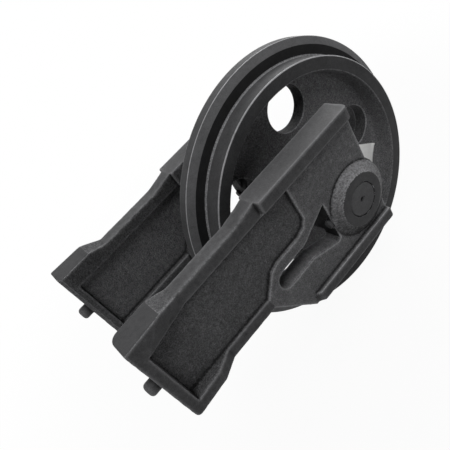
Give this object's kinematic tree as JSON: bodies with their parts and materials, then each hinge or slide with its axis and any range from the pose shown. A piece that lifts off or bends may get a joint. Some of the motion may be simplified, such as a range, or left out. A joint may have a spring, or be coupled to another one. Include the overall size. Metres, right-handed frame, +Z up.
{
  "type": "excavator front idler",
  "caption": "Front idler of a crawler excavator: a flanged cast guide wheel turning on a fixed, sealed shaft between a mirrored pair of sliding bracket castings with rails, feet and dowels.",
  "frame": {"origin": "middle of the shaft, in the wheel's middle plane", "axes": "+X to the front of the machine, +Y to its left along the shaft, +Z up"},
  "size_m": [0.622, 0.273, 0.457],
  "materials": {
    "black_paint": "satin black paint over rough castings and machined faces",
    "seal_steel": "lapped steel",
    "bronze": "turned bronze",
    "copper": "soft copper",
    "rubber": "smooth black rubber"
  },
  "bodies": {
    "brackets": {"shaft": "black_paint", "bracket_seal_ring_right": "seal_steel", "bracket_seal_ring_left": "seal_steel", "bracket_toric_right": "rubber", "bracket_toric_left": "rubber", "shaft_o_ring_right": "rubber", "shaft_o_ring_left": "rubber", "bracket_right": "black_paint", "bracket_left": "black_paint", "lock_pin_right": "black_paint", "lock_pin_left": "black_paint", "rear_dowel_right": "black_paint", "rear_dowel_left": "black_paint", "oil_plug": "black_paint", "oil_plug_washer": "copper"},
    "wheel": {"idler_wheel": "black_paint", "bush_right": "bronze", "bush_left": "bronze", "hub_seal_ring_right": "seal_steel", "hub_seal_ring_left": "seal_steel", "hub_toric_right": "rubber", "hub_toric_left": "rubber"}
  },
  "joints": [
    {"name": "wheel_spin", "type": "hinge", "parent": "brackets", "child": "wheel", "pos_m": [0, 0, 0], "axis": [0, 1, 0], "continuous": true}
  ]
}
